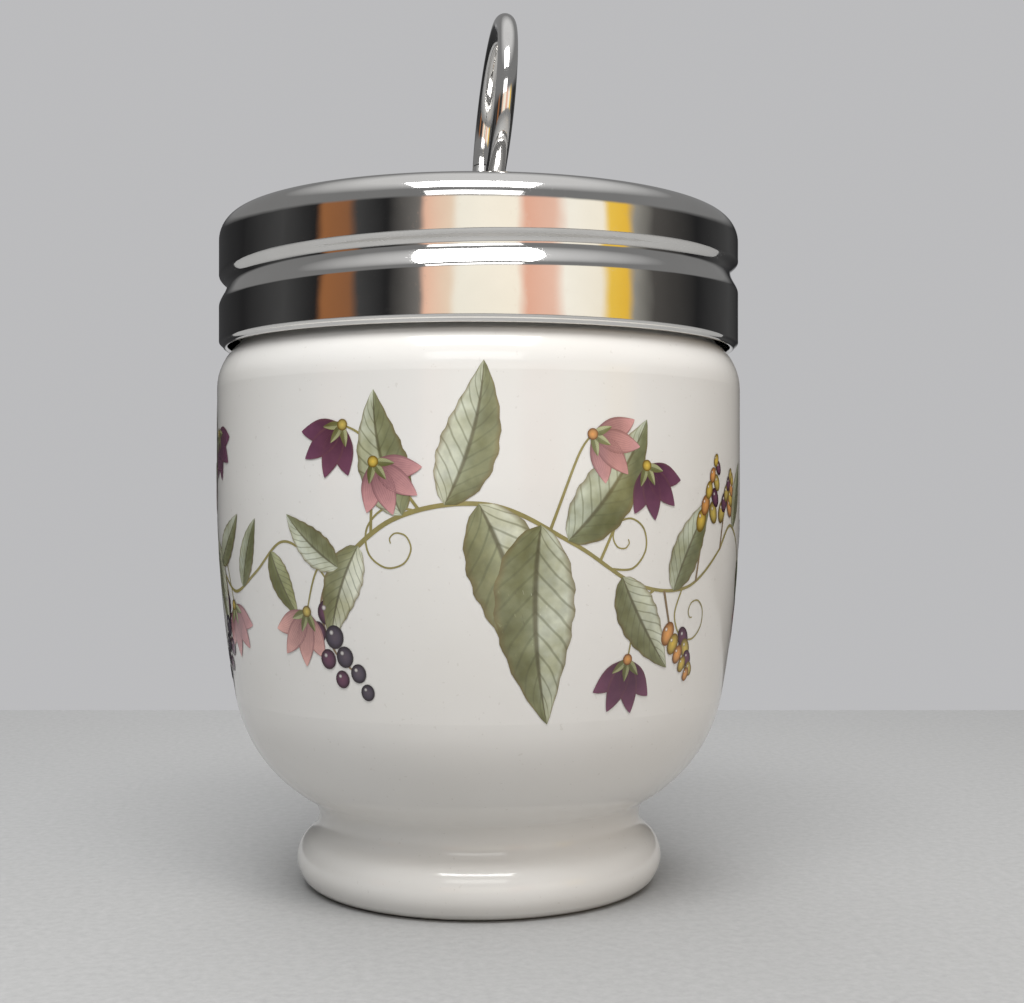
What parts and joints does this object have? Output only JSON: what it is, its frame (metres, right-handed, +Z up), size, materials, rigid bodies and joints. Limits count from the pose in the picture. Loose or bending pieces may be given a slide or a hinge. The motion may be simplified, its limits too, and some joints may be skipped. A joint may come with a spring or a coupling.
{
  "type": "egg coddler",
  "caption": "Footed porcelain cup with a threaded neck, a polished steel screw-on lid and a hinged lifting ring, for cooking eggs in hot water.",
  "frame": {"origin": "centre of the foot's underside, at the bottom centre of the whole", "axes": "+Z up along the cup's axis; the lifting ring's hinge runs along +Y, and the ring leans a little towards +X at rest"},
  "size_m": [0.064, 0.064, 0.1067],
  "materials": {
    "porcelain": "smooth clear glaze over warm white porcelain, with a printed botanical pattern",
    "polished_lid": "mirror polished stainless steel",
    "polished_clip": "polished stainless strip",
    "rivet_steel": "polished stainless steel",
    "ring_steel": "polished stainless wire"
  },
  "bodies": {
    "cup": {"cup": "porcelain"},
    "rivet": {"lid_rivet": "rivet_steel"},
    "lid": {"lid_cap": "polished_lid", "ring_clip": "polished_clip"},
    "ring": {"lifting_ring": "ring_steel"}
  },
  "joints": [
    {"name": "lid_rise", "type": "slide", "parent": "cup", "child": "rivet", "axis": [0, 0, 1], "range_m": [0, 0.01441]},
    {"name": "lid_turn", "type": "hinge", "parent": "rivet", "child": "lid", "pos_m": [0, 0, 0.08], "axis": [0, 0, 1], "range_deg": [0, 1296]},
    {"name": "ring_swing", "type": "hinge", "parent": "lid", "child": "ring", "pos_m": [0.0008, 0, 0.08276], "axis": [0, 1, 0], "range_deg": [-98, 87]}
  ],
  "couplings": [
    {"joint": "lid_rise", "follows": "lid_turn", "m_per_rad": 0.00063662}
  ]
}
